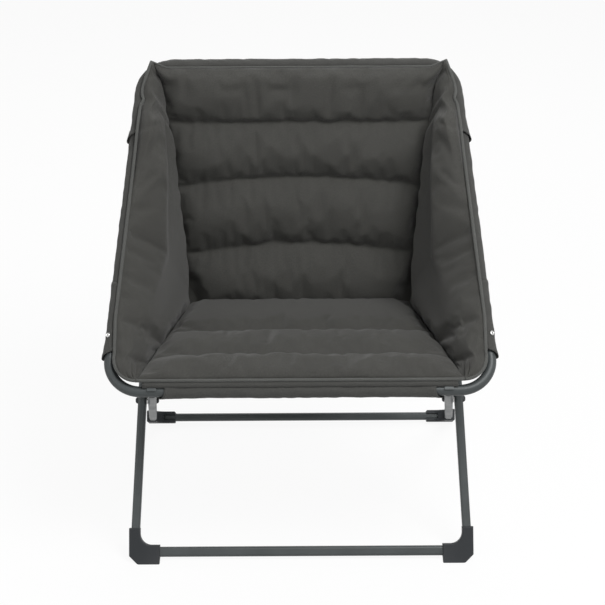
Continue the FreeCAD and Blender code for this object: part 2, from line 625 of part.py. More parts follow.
def wing_section(up):
    over_pivot = abs(up - arm_up_ring) <= WING_PIVOT_REACH
    rise = WING_OVER_PIVOT if over_pivot else WING_RISE
    edge_x = ring_half(up) - sleeve_out - SEAM_GAP - (WING_FRONT_TUCK if up < wing_start else 0.0)
    under = Vector(edge_x, up, rise)
    over = Vector(edge_x, up, rise + WING_EDGE)
    outer = seam_point(up, 0.0)
    inner = seam_point(up, PAD_EDGE)
    below_pivot = arm_up_ring - up
    leg_x = front_leg_half(front_leg_long - below_pivot / leg_step) - LEG_WIDE / 2 - WING_LEG_GAP
    leg_out = leg_clear - below_pivot * leg_drop
    if over_pivot:
        knee = Vector(leg_x - BOLT_HEAD_TALL, up, WING_OVER_PIVOT)
    elif below_pivot < 0 or leg_out < outer.z + WING_LEG_GAP:
        away = Vector(under.z - outer.z, 0, outer.x - under.x).normalize()
        knee = (under + outer) * 0.5 + away * WING_BOW
    else:
        knee = Vector(leg_x, up, leg_out)
    pad_knee = Vector(max(outer.x + SEAM_GAP * 4, knee.x - WING_PAD), up, max(knee.z + WING_EDGE, inner.z + 2))
    chord = over - pad_knee
    lift = Vector(-chord.z, 0, chord.x).normalize() * (WING_CROWN * min(1.0, chord.Length / (2 * WING_PAD)))
    crown = (over + pad_knee) * 0.5 + lift
    fall = pad_knee - inner
    fullness = min(max((fall.Length - WING_PAD) / (2 * WING_PAD), 0.01), 1.0)
    sag = Vector(-fall.z, 0, fall.x).normalize() * (WING_SAG * fullness)
    edges = [
        Part.LineSegment(under, knee).toShape(),
        Part.LineSegment(knee, outer).toShape(),
        Part.LineSegment(outer, inner).toShape(),
        Part.Arc(inner, (inner + pad_knee) * 0.5 + sag, pad_knee).toShape(),
        Part.Arc(pad_knee, crown, over).toShape(),
        Part.LineSegment(over, under).toShape(),
    ]
    return Part.Wire(edges)


seam_corner = in_ring(seat_back).y
wing_start = hinge_up_ring - WING_BELOW_HINGE
wing_end = ring_long - WING_BELOW_TOP
stations = [WING_FRONT_UP, wing_start, (wing_start + seam_corner) / 2, seam_corner,
            (2 * seam_corner + arm_up_ring) / 3, (seam_corner + 2 * arm_up_ring) / 3,
            arm_up_ring - WING_PIVOT_REACH, arm_up_ring + WING_PIVOT_REACH,
            (arm_up_ring + 2 * wing_end) / 3, wing_end]
wing = Part.makeLoft([wing_section(up) for up in stations], True, True)
add_pair("side_wing", placed(wing, ring_frame))

# Row frame: middle of the chair's depth, on the floor
room = Part.makeCompound(list(nodes.values())).BoundBox
to_origin = Vector(0, -(room.YMin + room.YMax) / 2, 0)
for name, shape in nodes.items():
    shape.translate(to_origin)
    shape.exportStep("parts/%s.step" % name)

for label, point in (("leg crossing", leg_cross), ("arm pivot", arm_pivot), ("ring hinge", ring_hinge),
                     ("front rail", front_rail), ("top rail", top_rail), ("seat back", seat_back)):
    print(label, [round(value / 1000, 6) for value in point + to_origin])
print("leg_fold %.4f ring_swing %.4f hinge_turn %.4f" % (leg_fold, ring_swing, hinge_turn))
print("hinge up the ring %.2f" % hinge_up_ring)
for name, shape in nodes.items():
    print(name, len(shape.Solids), round(shape.Volume), shape.isValid())
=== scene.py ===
import math
import bmesh
import bpy
from mathutils import Matrix, Vector, noise


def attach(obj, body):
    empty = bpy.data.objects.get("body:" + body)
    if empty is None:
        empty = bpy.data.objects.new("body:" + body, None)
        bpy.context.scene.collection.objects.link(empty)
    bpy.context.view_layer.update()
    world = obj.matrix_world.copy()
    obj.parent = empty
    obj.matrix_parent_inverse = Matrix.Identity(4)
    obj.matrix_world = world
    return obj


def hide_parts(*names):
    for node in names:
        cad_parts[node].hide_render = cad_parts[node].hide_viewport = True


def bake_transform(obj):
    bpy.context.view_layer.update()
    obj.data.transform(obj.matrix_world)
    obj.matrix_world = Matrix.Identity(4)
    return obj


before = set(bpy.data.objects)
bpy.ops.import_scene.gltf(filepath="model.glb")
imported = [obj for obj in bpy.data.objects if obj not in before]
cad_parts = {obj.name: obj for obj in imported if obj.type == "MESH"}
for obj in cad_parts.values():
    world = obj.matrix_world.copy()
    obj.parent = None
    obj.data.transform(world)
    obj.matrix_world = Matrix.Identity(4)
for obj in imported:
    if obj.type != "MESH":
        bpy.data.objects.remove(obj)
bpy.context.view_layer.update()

# Leg frames and ring: steel tube of flat-sided or round section, bent, pressed flat at the hinges and riveted.
# The dark grey powder coat is finely pebbled, and a little paler on edges where it is rubbed.


def group(name, inputs, outputs):
    tree = bpy.data.node_groups.new(name, "ShaderNodeTree")
    for label, kind, value in inputs:
        socket = tree.interface.new_socket(label, in_out="INPUT", socket_type=kind)
        socket.default_value = value
    for label, kind in outputs:
        tree.interface.new_socket(label, in_out="OUTPUT", socket_type=kind)
    tree.nodes.new("NodeGroupInput").name = "in"
    tree.nodes.new("NodeGroupOutput").name = "out"
    return tree


def put(tree, kind, settings=None, **sockets):
    # Adds a node with its settings and inputs; i0, i1 and so on name an input by its place
    node = tree.nodes.new(kind)
    for key, value in (settings or {}).items():
        setattr(node, key, value)
    for key, value in sockets.items():
        name = key.replace("_", " ")
        slot = int(name[1:]) if name[0] == "i" and name[1:].isdigit() else name
        socket = node.inputs[slot]
        if isinstance(value, bpy.types.NodeSocket):
            tree.links.new(value, socket)
        else:
            socket.default_value = value
    return node


surface_wear = group("surface_wear",
                     [("Color", "NodeSocketColor", (0.1, 0.1, 0.1, 1)),
                      ("Rubbed", "NodeSocketColor", (0.2, 0.2, 0.2, 1)),
                      ("Grain", "NodeSocketFloat", 900.0),
                      ("Wear", "NodeSocketFloat", 0.3),
                      ("Rough", "NodeSocketFloat", 0.5)],
                     [("Color", "NodeSocketColor"), ("Roughness", "NodeSocketFloat"), ("Height", "NodeSocketFloat")])
start, done = surface_wear.nodes["in"], surface_wear.nodes["out"]
place = put(surface_wear, "ShaderNodeTexCoord")
pebble = put(surface_wear, "ShaderNodeTexNoise", Vector=place.outputs["Object"],
             Scale=start.outputs["Grain"], Detail=3.0)
blotch = put(surface_wear, "ShaderNodeTexNoise", Vector=place.outputs["Object"], Scale=14.0, Detail=5.0)
edges = put(surface_wear, "ShaderNodeNewGeometry")
sharp = put(surface_wear, "ShaderNodeMapRange", Value=edges.outputs["Pointiness"], From_Min=0.52, From_Max=0.6)
patch = put(surface_wear, "ShaderNodeMath", {"operation": "MULTIPLY"},
            i0=sharp.outputs[0], i1=blotch.outputs["Fac"])
share = put(surface_wear, "ShaderNodeMath", {"operation": "MULTIPLY"},
            i0=patch.outputs[0], i1=start.outputs["Wear"])
shade = put(surface_wear, "ShaderNodeMapRange", Value=blotch.outputs["Fac"],
            From_Min=0.3, From_Max=0.7, To_Min=0.9, To_Max=1.1)
tone = put(surface_wear, "ShaderNodeVectorMath", {"operation": "SCALE"},
           i0=start.outputs["Color"], Scale=shade.outputs[0])
rubbed = put(surface_wear, "ShaderNodeMix", {"data_type": "RGBA"}, i0=share.outputs[0], i6=tone.outputs[0],
             i7=start.outputs["Rubbed"])
uneven = put(surface_wear, "ShaderNodeMapRange", Value=blotch.outputs["Fac"],
             From_Min=0.3, From_Max=0.7, To_Min=-0.06, To_Max=0.06)
rough = put(surface_wear, "ShaderNodeMath", {"operation": "ADD"},
            i0=start.outputs["Rough"], i1=uneven.outputs[0])
surface_wear.links.new(rubbed.outputs[2], done.inputs["Color"])
surface_wear.links.new(rough.outputs[0], done.inputs["Roughness"])
surface_wear.links.new(pebble.outputs["Fac"], done.inputs["Height"])


def worn_finish(name, color, rubbed_color, grain, wear, roughness, bump, metallic=0.0):
    finish = bpy.data.materials.new(name)
    finish.use_nodes = True
    tree = finish.node_tree
    shader = tree.nodes["Principled BSDF"]
    effect = put(tree, "ShaderNodeGroup", {"node_tree": surface_wear}, Color=(*color, 1),
                 Rubbed=(*rubbed_color, 1), Grain=grain, Wear=wear, Rough=roughness)
    relief = put(tree, "ShaderNodeBump", Strength=0.35, Distance=bump, Height=effect.outputs["Height"])
    tree.links.new(effect.outputs["Color"], shader.inputs["Base Color"])
    tree.links.new(effect.outputs["Roughness"], shader.inputs["Roughness"])
    tree.links.new(relief.outputs[0], shader.inputs["Normal"])
    shader.inputs["Metallic"].default_value = metallic
    shader.inputs["Specular IOR Level"].default_value = 0.35
    return finish


def finish_nodes(material, *names):
    for name in names:
        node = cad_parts[name]
        node.data.materials.clear()
        node.data.materials.append(material)
        for face in node.data.polygons:
            face.material_index = 0


powder_coat = worn_finish("powder_coat", (0.047, 0.053, 0.054), (0.11, 0.12, 0.12),
                          grain=1500.0, wear=0.35, roughness=0.44, bump=0.0002, metallic=0.12)
finish_nodes(powder_coat, "front_base_rail", "front_leg_left", "front_leg_right",
             "rear_base_rail", "rear_leg_left", "rear_leg_right",
             "rail_strap_left", "rail_strap_right", "back_ring_tube", "front_ring_tube")

# Feet, leg caps and pivot covers: moulded black plastic with a fine spark-eroded grain.
# The feet are pressed over the tube corners and stand on the floor.
moulded_black = worn_finish("moulded_black", (0.014, 0.0165, 0.019), (0.06, 0.062, 0.065),
                            grain=2200.0, wear=0.5, roughness=0.55, bump=0.0002)
finish_nodes(moulded_black, "front_foot_left", "front_foot_right", "rear_foot_left", "rear_foot_right",
             "front_leg_end_caps", "leg_pivot_outer_caps", "leg_pivot_inner_caps", "arm_pivot_bushes")

# Screws, rivets, bolts and washers: bright zinc-plated steel, a little cloudy.
# Screws hold the feet, bolts carry the leg crossing and the arms, and rivets pin the straps and the ring's hinge.
zinc_steel = worn_finish("zinc_steel", (0.58, 0.58, 0.57), (0.75, 0.75, 0.74),
                         grain=700.0, wear=0.4, roughness=0.3, bump=0.0001, metallic=1.0)
finish_nodes(zinc_steel, "front_foot_screws", "rear_foot_screws", "rail_strap_rivets", "leg_pivot_bolts",
             "leg_pivot_washers", "ring_hinge_rivets", "ring_hinge_washers", "arm_pivot_bolts")

# Sleeves: tubes of the cover's woven polyester, sewn round the ring and hemmed at each end.
# The top sleeve's flared mouths lap over the arm sleeves at the arm pivots.
# At the front corners the sleeves stop short, and the coated tube shows.
RING_FRONT = Vector((0.0, -0.320313, 0.410))
RING_UP = Vector((0.0, 0.767143, 0.641476))
RING_OUT = Vector((0.0, -RING_UP.z, RING_UP.y))
RING_LONG = 0.763872
RING_HALF_AT_FRONT = 0.390
RING_NARROWS = 0.056
ARM_UP = 0.595974
HINGE_UP = 0.1357
SLEEVE_RADIUS = 0.0136


def ring_half(up):
    # Half the ring's width at a distance up its arm from the front rail
    return RING_HALF_AT_FRONT - RING_NARROWS * up / RING_LONG


def on_ring(x, up, out):
    return Vector((x, 0, 0)) + RING_FRONT + RING_UP * up + RING_OUT * out


woven_cloth = group("woven_cloth",
                    [("Color", "NodeSocketColor", (0.06, 0.06, 0.055, 1)),
                     ("Thread", "NodeSocketFloat", 780.0),
                     ("Slub", "NodeSocketFloat", 0.25)],
                    [("Color", "NodeSocketColor"), ("Roughness", "NodeSocketFloat"), ("Height", "NodeSocketFloat")])
start, done = woven_cloth.nodes["in"], woven_cloth.nodes["out"]
place = put(woven_cloth, "ShaderNodeUVMap", {"uv_map": "cloth"})
across = put(woven_cloth, "ShaderNodeTexWave", {"wave_type": "BANDS", "bands_direction": "X"},
             Vector=place.outputs["UV"], Scale=start.outputs["Thread"], Distortion=0.6, Detail=1.0)
along = put(woven_cloth, "ShaderNodeTexWave", {"wave_type": "BANDS", "bands_direction": "Y"},
            Vector=place.outputs["UV"], Scale=start.outputs["Thread"], Distortion=0.6, Detail=1.0)
over = put(woven_cloth, "ShaderNodeMath", {"operation": "MAXIMUM"},
           i0=across.outputs["Fac"], i1=along.outputs["Fac"])
yarn = put(woven_cloth, "ShaderNodeTexNoise", Vector=place.outputs["UV"], Scale=420.0, Detail=4.0)
faded = put(woven_cloth, "ShaderNodeTexNoise", Vector=place.outputs["UV"],
            Scale=11.0, Detail=6.0, Roughness=0.65)
fleck = put(woven_cloth, "ShaderNodeMapRange", Value=yarn.outputs["Fac"],
            From_Min=0.3, From_Max=0.7, To_Min=0.82, To_Max=1.18)
patch = put(woven_cloth, "ShaderNodeMapRange", Value=faded.outputs["Fac"],
            From_Min=0.3, From_Max=0.7, To_Min=0.9, To_Max=1.1)
groove = put(woven_cloth, "ShaderNodeMapRange", Value=over.outputs[0],
             From_Min=0.2, From_Max=0.9, To_Min=0.72, To_Max=1.06)
mixed = put(woven_cloth, "ShaderNodeMath", {"operation": "MULTIPLY"}, i0=fleck.outputs[0], i1=patch.outputs[0])
shade = put(woven_cloth, "ShaderNodeMath", {"operation": "MULTIPLY"}, i0=mixed.outputs[0], i1=groove.outputs[0])
tone = put(woven_cloth, "ShaderNodeVectorMath", {"operation": "SCALE"},
           i0=start.outputs["Color"], Scale=shade.outputs[0])
rough = put(woven_cloth, "ShaderNodeMapRange", Value=over.outputs[0], To_Min=0.9, To_Max=0.74)
slubs = put(woven_cloth, "ShaderNodeMath", {"operation": "MULTIPLY_ADD"}, i0=yarn.outputs["Fac"],
            i1=start.outputs["Slub"], i2=over.outputs[0])
woven_cloth.links.new(tone.outputs[0], done.inputs["Color"])
woven_cloth.links.new(rough.outputs[0], done.inputs["Roughness"])
woven_cloth.links.new(slubs.outputs[0], done.inputs["Height"])


def cloth_finish(name, color, thread, slub, bump, sheen):
    finish = bpy.data.materials.new(name)
    finish.use_nodes = True
    tree = finish.node_tree
    shader = tree.nodes["Principled BSDF"]
    effect = put(tree, "ShaderNodeGroup", {"node_tree": woven_cloth},
                 Color=(*color, 1), Thread=thread, Slub=slub)
    relief = put(tree, "ShaderNodeBump", Strength=0.5, Distance=bump, Height=effect.outputs["Height"])
    tree.links.new(effect.outputs["Color"], shader.inputs["Base Color"])
    tree.links.new(effect.outputs["Roughness"], shader.inputs["Roughness"])
    tree.links.new(relief.outputs[0], shader.inputs["Normal"])
    shader.inputs["Sheen Weight"].default_value = sheen
    shader.inputs["Sheen Roughness"].default_value = 0.45
    shader.inputs["Specular IOR Level"].default_value = 0.25
    return finish


sleeve_cloth = cloth_finish("sleeve_cloth", (0.055, 0.055, 0.0515), thread=780.0, slub=0.3, bump=0.0003, sheen=0.12)
MOUTH_REACH = 0.04
HEM_LIP = 0.0006


def cloth_tube(name, path, radius, material, crumple=0.0, hem=0.006, around=28, thick=0.0012,
               slant=(0, 0), flare=(0, 0)):
    # Tube of cloth along a path, with a folded hem at both mouths; thick 0 gives a filled strip.
    # slant moves one side of a mouth along the path, flare opens the mouth wider.
    mesh = bmesh.new()
    uv = mesh.loops.layers.uv.new("cloth")
    lengths = [0.0]
    for a, b in zip(path, path[1:]):
        lengths.append(lengths[-1] + (b - a).length)
    up = Vector((0.0, 0.6, 0.8))
    walls = [(index, 0.0) for index in range(len(path))]
    if thick:
        walls += [(index, thick) for index in reversed(range(len(path)))]
    rings = []
    for index, inside in walls:
        point = path[index]
        ahead = (path[min(index + 1, len(path) - 1)] - path[max(index - 1, 0)]).normalized()
        side = ahead.cross(up).normalized()
        top = side.cross(ahead)
        to_mouth = min(lengths[index], lengths[-1] - lengths[index])
        lip = HEM_LIP if 0.0 < to_mouth < hem and not inside else 0.0
        first = max(0.0, 1 - lengths[index] / MOUTH_REACH)
        last = max(0.0, 1 - (lengths[-1] - lengths[index]) / MOUTH_REACH)
        open_by = flare[0] * first * first + flare[1] * last * last
        ring = []
        for step in range(around):
            angle = 2 * math.pi * step / around
            spot = point * 60 + Vector((math.cos(angle), math.sin(angle), 0)) * 1.3
            swell = crumple * noise.noise(spot) * min(1.0, 0.3 + to_mouth / 0.02)
            reach = radius + lip + swell + open_by - inside
            slide = ahead * math.cos(angle) * (slant[0] * first + slant[1] * last)
            spoke = side * math.cos(angle) + top * math.sin(angle)
            ring.append(mesh.verts.new(point + slide + spoke * reach))
        rings.append(ring)
    pairs = list(zip(range(len(walls)), range(1, len(walls))))
    if thick:
        pairs.append((len(walls) - 1, 0))
    for one, two in pairs:
        for step in range(around):
            after = (step + 1) % around
            corners = (rings[one][step], rings[one][after], rings[two][after], rings[two][step])
            face = mesh.faces.new(corners)
            face.smooth = True
            turns = ((step, one), (step + 1, one), (step + 1, two), (step, two))
            for loop, (turn, at) in zip(face.loops, turns):
                loop[uv].uv = (turn / around * 2 * math.pi * radius, lengths[walls[at][0]])
    if not thick:
        mesh.faces.new(list(reversed(rings[0])))
        mesh.faces.new(rings[-1])
    data = bpy.data.meshes.new(name)
    mesh.to_mesh(data)
    mesh.free()
    piece = bpy.data.objects.new(name, data)
    bpy.context.scene.collection.objects.link(piece)
    data.materials.append(material)
    return piece, lengths[-1]


def run(first, last, step=0.006):
    count = max(2, round((last - first).length / step))
    return [first.lerp(last, index / count) for index in range(count + 1)]


def arm_run(low, high, side):
    return run(on_ring(side * ring_half(low), low, 0), on_ring(side * ring_half(high), high, 0))


TOP_BEND = 0.070
TOP_BEND_STEPS = 14
TOP_SLEEVE_PAST_PIVOT = 0.012
lean = math.atan2(RING_NARROWS, RING_LONG)
bend_reach = TOP_BEND / math.tan(math.pi / 4 + lean / 2)
arm_end = RING_LONG - bend_reach * math.cos(lean)
arc_centre = Vector((ring_half(arm_end) - TOP_BEND * math.cos(lean), arm_end - TOP_BEND * math.sin(lean)))
corner = []
for index in range(TOP_BEND_STEPS + 1):
    angle = lean + (math.pi / 2 - lean) * index / TOP_BEND_STEPS
    corner.append((arc_centre.x + TOP_BEND * math.cos(angle), arc_centre.y + TOP_BEND * math.sin(angle)))
right = arm_run(ARM_UP - TOP_SLEEVE_PAST_PIVOT, arm_end, 1)[:-1] + [on_ring(x, up, 0) for x, up in corner]
left = [Vector((-p.x, p.y, p.z)) for p in reversed(right)]
top_path = right + run(right[-1], left[0])[1:-1] + left
top_sleeve, length = cloth_tube("top_sleeve_cloth", top_path, SLEEVE_RADIUS, sleeve_cloth, crumple=0.0016,
                                slant=(-0.010, 0.010), flare=(0.0055, 0.0055))
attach(top_sleeve, "ring_rear")
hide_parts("top_sleeve")

# On the chair the hinge sleeves and the cover bend between these two places when the ring folds; here they are built
# unfolded and nothing bends them.
ARM_SLEEVE_FROM = HINGE_UP + 0.100
ARM_SLEEVE_TO = ARM_UP + 0.016
ARM_SLEEVE_RADIUS = SLEEVE_RADIUS - 0.0003
HINGE_SLEEVE_FROM = HINGE_UP - 0.057
HINGE_SLEEVE_TO = HINGE_UP + 0.102
for side, label in ((1, "right"), (-1, "left")):
    arm_sleeve, length = cloth_tube("arm_sleeve_cloth_" + label, arm_run(ARM_SLEEVE_FROM, ARM_SLEEVE_TO, side),
                                    ARM_SLEEVE_RADIUS, sleeve_cloth, crumple=0.0014)
    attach(arm_sleeve, "ring_rear")
    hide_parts("arm_sleeve_" + label)
    hinge_sleeve, length = cloth_tube("hinge_sleeve_cloth_" + label, arm_run(HINGE_SLEEVE_FROM, HINGE_SLEEVE_TO, side),
                                      SLEEVE_RADIUS, sleeve_cloth, crumple=0.0014,
                                      slant=(-0.008 * side, 0.004 * side), flare=(0.003, 0.001))
    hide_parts("hinge_sleeve_" + label)
    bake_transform(hinge_sleeve)

FRONT_SLEEVE_HALF = 0.2815
front_path = run(on_ring(-FRONT_SLEEVE_HALF, 0, 0), on_ring(FRONT_SLEEVE_HALF, 0, 0))
front_sleeve, length = cloth_tube("front_sleeve_cloth", front_path, SLEEVE_RADIUS, sleeve_cloth, crumple=0.0014,
                                  slant=(0.010, -0.010), flare=(0.002, 0.002))
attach(front_sleeve, "ring_front")
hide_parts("front_sleeve")

# Eyelets: bright zinc-plated rings, each with a black plastic disc across its hole as painted shade for the dark
# inside of the hole.
# They are pressed through the cloth on the sleeve's outer upper side, just in front of the hinge.
# Each point of the profile is a distance from the middle and a height above the cloth
EYELET = [(0.0, 0.0004), (0.0018, 0.0004), (0.0021, 0.0020), (0.0031, 0.0027), (0.0042, 0.0022), (0.0049, 0.0)]
EYELET_STEPS = 24
EYELET_LEAN = 0.55
EYELET_UP = HINGE_UP - 0.016
EYELET_LIFT = 0.0006
eyelets = bmesh.new()
for side in (1, -1):
    out = (RING_OUT * math.cos(EYELET_LEAN) + Vector((side * math.sin(EYELET_LEAN), 0, 0))).normalized()
    across = out.cross(RING_UP).normalized()
    middle = on_ring(side * ring_half(EYELET_UP), EYELET_UP, 0) + out * (SLEEVE_RADIUS + EYELET_LIFT)
    rings = []
    for reach, tall in EYELET:
        ring = []
        for step in range(EYELET_STEPS):
            angle = 2 * math.pi * step / EYELET_STEPS
            spoke = across * math.cos(angle) + RING_UP * math.sin(angle)
            ring.append(eyelets.verts.new(middle + out * tall + spoke * max(reach, 1e-5)))
        rings.append(ring)
    for number, (one, two) in enumerate(zip(rings, rings[1:])):
        for step in range(EYELET_STEPS):
            after = (step + 1) % EYELET_STEPS
            face = eyelets.faces.new((one[step], two[step], two[after], one[after]))
            face.smooth = True
            # The innermost band is the disc across the hole, in black plastic: painted shade for the hole
            face.material_index = int(number == 0)
eyelet_mesh = bpy.data.meshes.new("eyelets")
bmesh.ops.recalc_face_normals(eyelets, faces=eyelets.faces)
eyelets.to_mesh(eyelet_mesh)
eyelets.free()
eyelet_mesh.materials.append(zinc_steel)
# Second material: black plastic on the discs in the holes, as painted shade
eyelet_mesh.materials.append(moulded_black)
eyelet_rings = bpy.data.objects.new("eyelets", eyelet_mesh)
bpy.context.scene.collection.objects.link(eyelet_rings)
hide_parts("sleeve_screws")
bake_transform(eyelet_rings)

# Back pad: two layers of polyester with fibre fill, sewn across into four rolls.
# Its side seams run from the seat corner up to the top corners of the ring.
# Its top edge passes in front of the top rail and is sewn to the sleeve there.
quilt_cloth = cloth_finish("quilt_cloth", (0.0505, 0.050, 0.0455), thread=780.0, slub=0.3, bump=0.0004, sheen=0.15)
SEAT_CORNER = Vector((0.0, 0.144687, 0.380))
BACK_UP = Vector((0.0, 0.226637, 0.973979))
BACK_OUT = Vector((0.0, -BACK_UP.z, BACK_UP.y))
PRESSURE = 4.0


def puff(piece, pins, swell, most, slack=-0.04, frames=20):
    # Inflates a sewn cover between its pinned seams, then keeps each point near where it was cut
    before = [v.co.copy() for v in piece.data.vertices]
    held = piece.vertex_groups.new(name="seams")
    for index, weight in pins.items():
        held.add([index], weight, "REPLACE")
    cover = piece.modifiers.new("cover", "CLOTH")
    settings = cover.settings
    settings.quality = 6
    settings.mass = 0.25
    settings.tension_stiffness = 18
    settings.compression_stiffness = 14
    settings.shear_stiffness = 8
    settings.bending_stiffness = 0.4
    settings.use_pressure = True
    settings.uniform_pressure_force = swell
    settings.shrink_min = slack
    settings.vertex_group_mass = "seams"
    settings.effector_weights.gravity = 0
    cover.point_cache.frame_start = 1
    cover.point_cache.frame_end = frames
    scene = bpy.context.scene
    for number in range(1, frames + 1):
        scene.frame_set(number)
    bpy.context.view_layer.update()
    shaped = piece.evaluated_get(bpy.context.evaluated_depsgraph_get())
    moved = [v.co.copy() for v in shaped.data.vertices]
    piece.modifiers.remove(cover)
    piece.vertex_groups.remove(held)
    scene.frame_set(1)
    for vertex, was, now in zip(piece.data.vertices, before, moved):
        shift = now - was
        if shift.length > most:
            shift *= most / shift.length
        vertex.co = was + shift


def sewn_pad(name, front, rear, sizes, material, seams, swell, most):
    # Front and rear layers as grids that share their border; seams are grid rows sewn through
    rows, cols = len(front) - 1, len(front[0]) - 1
    verts, faces, uvs = [], [], []
    top = [[0] * (cols + 1) for _ in range(rows + 1)]
    low = [[0] * (cols + 1) for _ in range(rows + 1)]
    pins = {}
    for i in range(rows + 1):
        for j in range(cols + 1):
            edge = i in (0, rows) or j in (0, cols)
            top[i][j] = low[i][j] = len(verts)
            verts.append((front[i][j] + rear[i][j]) / 2 if edge else front[i][j])
            if edge or i in seams:
                pins[top[i][j]] = 1.0
            if not edge:
                low[i][j] = len(verts)
                verts.append(rear[i][j])
                pins[low[i][j]] = 1.0 if i in seams else 0.6
    for i in range(rows):
        for j in range(cols):
            corners = ((i, j), (i, j + 1), (i + 1, j + 1), (i + 1, j))
            faces.append([top[a][b] for a, b in corners])
            uvs.append([sizes(a, b) for a, b in corners])
            faces.append([low[a][b] for a, b in reversed(corners)])
            uvs.append([sizes(a, b) for a, b in reversed(corners)])
    data = bpy.data.meshes.new(name)
    data.from_pydata(verts, [], faces)
    layer = data.uv_layers.new(name="cloth")
    spot = 0
    for face in uvs:
        for pair in face:
            layer.data[spot].uv = pair
            spot += 1
    border = {top[i][j] for i in range(rows + 1) for j in range(cols + 1)
              if i in (0, rows) or j in (0, cols)}
    sharp = data.attributes.new("crease_edge", "FLOAT", "EDGE")
    for edge in data.edges:
        sharp.data[edge.index].value = float(edge.vertices[0] in border and edge.vertices[1] in border)
    piece = bpy.data.objects.new(name, data)
    bpy.context.scene.collection.objects.link(piece)
    data.materials.append(material)
    data.shade_smooth()
    puff(piece, pins, swell, most)
    fine = piece.modifiers.new("fine", "SUBSURF")
    fine.levels = 1
    fine.render_levels = 1
    fine.uv_smooth = "PRESERVE_BOUNDARIES"
    bpy.context.view_layer.update()
    smooth = bpy.data.meshes.new_from_object(piece.evaluated_get(bpy.context.evaluated_depsgraph_get()))
    piece.modifiers.clear()
    piece.data = smooth
    smooth.shade_smooth()
    return piece


def roll(share, seams):
    # Height of a quilted roll, from 0 at its seams to 1 on its crown, and the distance to a seam
    for low, high in zip(seams, seams[1:]):
        if share <= high or high == seams[-1]:
            inside = (share - low) / (high - low)
            return math.sqrt(max(0.0, 4 * inside * (1 - inside))), min(inside, 1 - inside)
    return 0.0, 0.0


BACK_TOP = 0.531
BACK_HALF_LOW = 0.246
BACK_WIDENS = 0.058
BACK_CORNER_FROM = 0.46
BACK_CORNER_WIDENS = 0.013
BACK_EAR = 0.013
BACK_ROWS = 76
BACK_COLS = 72
back_seams = [0.0, 0.228, 0.510, 0.780, 1.0]
back_bows = [0.0, 0.030, 0.023, 0.003, 0.0]
BACK_REAR = 0.002
BACK_STEP = 0.0145
BACK_STEP_FROM = 0.492
BACK_STEP_LONG = 0.028


def back_half(height):
    corner = max(0.0, (height - BACK_CORNER_FROM) / (BACK_TOP - BACK_CORNER_FROM))
    return BACK_HALF_LOW + BACK_WIDENS * height / BACK_TOP + BACK_CORNER_WIDENS * corner * corner


def back_rise(share, across):
    # The sewn lines bow upwards in the middle, and the top corners stand up as ears
    for index in range(1, len(back_seams)):
        if share <= back_seams[index] + 1e-9:
            part = (share - back_seams[index - 1]) / (back_seams[index] - back_seams[index - 1])
            bow = back_bows[index - 1] + (back_bows[index] - back_bows[index - 1]) * part
            ear = BACK_EAR * max(0.0, abs(across) - 0.9) / 0.1 * max(0.0, share - 0.8) / 0.2
            return bow * (1 - across * across) + ear
    return 0.0


def back_layer(height):
    # The rear layer leaves the back plane near the top and passes in front of the rail
    rise = min(1.0, max(0.0, (height - BACK_STEP_FROM) / BACK_STEP_LONG))
    return BACK_REAR + BACK_STEP * rise * rise * (3 - 2 * rise)


BACK_THIN = 0.006
BACK_CROWN = 0.027
BACK_DROOP = 0.011
BACK_MOST_MOVE = 0.016
BACK_CLOTH_WIDE = 0.55
front, rear = [], []
for i in range(BACK_ROWS + 1):
    share = i / BACK_ROWS
    height, near = roll(share, back_seams)
    up = BACK_TOP * share
    row_front, row_rear = [], []
    for j in range(BACK_COLS + 1):
        across = 2 * j / BACK_COLS - 1
        drawn = (1 - abs(across) ** (2.6 + 3.4 * min(1.0, share / 0.3))) ** 0.5
        gather = 0.0013 + 0.012 * max(0.0, abs(across) - 0.70)
        pucker = gather * math.exp(-near / 0.18) * noise.noise(Vector((across * 21.0, share * 3.0, 4.0))) * drawn
        thick = BACK_THIN + (0.003 + BACK_CROWN * height) * drawn
        base = SEAT_CORNER + BACK_UP * (up + back_rise(share, across)) + Vector((back_half(up) * across, 0, 0))
        droop = BACK_UP * (BACK_DROOP * height * drawn * (share < 0.999))
        row_front.append(base - droop + BACK_OUT * (back_layer(up) + thick + pucker))
        row_rear.append(base + BACK_OUT * (back_layer(up) - 0.006 * height * drawn * (up < 0.45)))
    front.append(row_front)
    rear.append(row_rear)
back_pad = sewn_pad("back_quilt", front, rear,
                    lambda i, j: (BACK_CLOTH_WIDE * (j / BACK_COLS - 0.5), BACK_TOP * i / BACK_ROWS),
                    quilt_cloth, [round(BACK_ROWS * s) for s in back_seams], PRESSURE, BACK_MOST_MOVE)

# The pad is sewn flat at its lower corners, which leaves a dark three-cornered pocket beside each wing
POCKET_INSIDE = 0.183
POCKET_WIDE = 0.068
POCKET_TALL = 0.135
POCKET_SOFT = 0.55
POCKET_DEEP = 0.75
SEAM_LIFT = 0.003
for vertex in back_pad.data.vertices:
    away = vertex.co - SEAT_CORNER
    up, out = away.dot(BACK_UP), away.dot(BACK_OUT)
    ripple = 0.10 * noise.noise(Vector((away.x * 30.0, up * 40.0, 3.0)))
    within = (abs(away.x) - POCKET_INSIDE) / POCKET_WIDE - up / POCKET_TALL + ripple
    share = min(1.0, max(0.0, within / POCKET_SOFT))
    flat = back_layer(up) + SEAM_LIFT
    if out > flat:
        vertex.co -= BACK_OUT * (out - flat) * POCKET_DEEP * share * share * (3 - 2 * share)
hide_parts("back_pad")
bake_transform(back_pad)

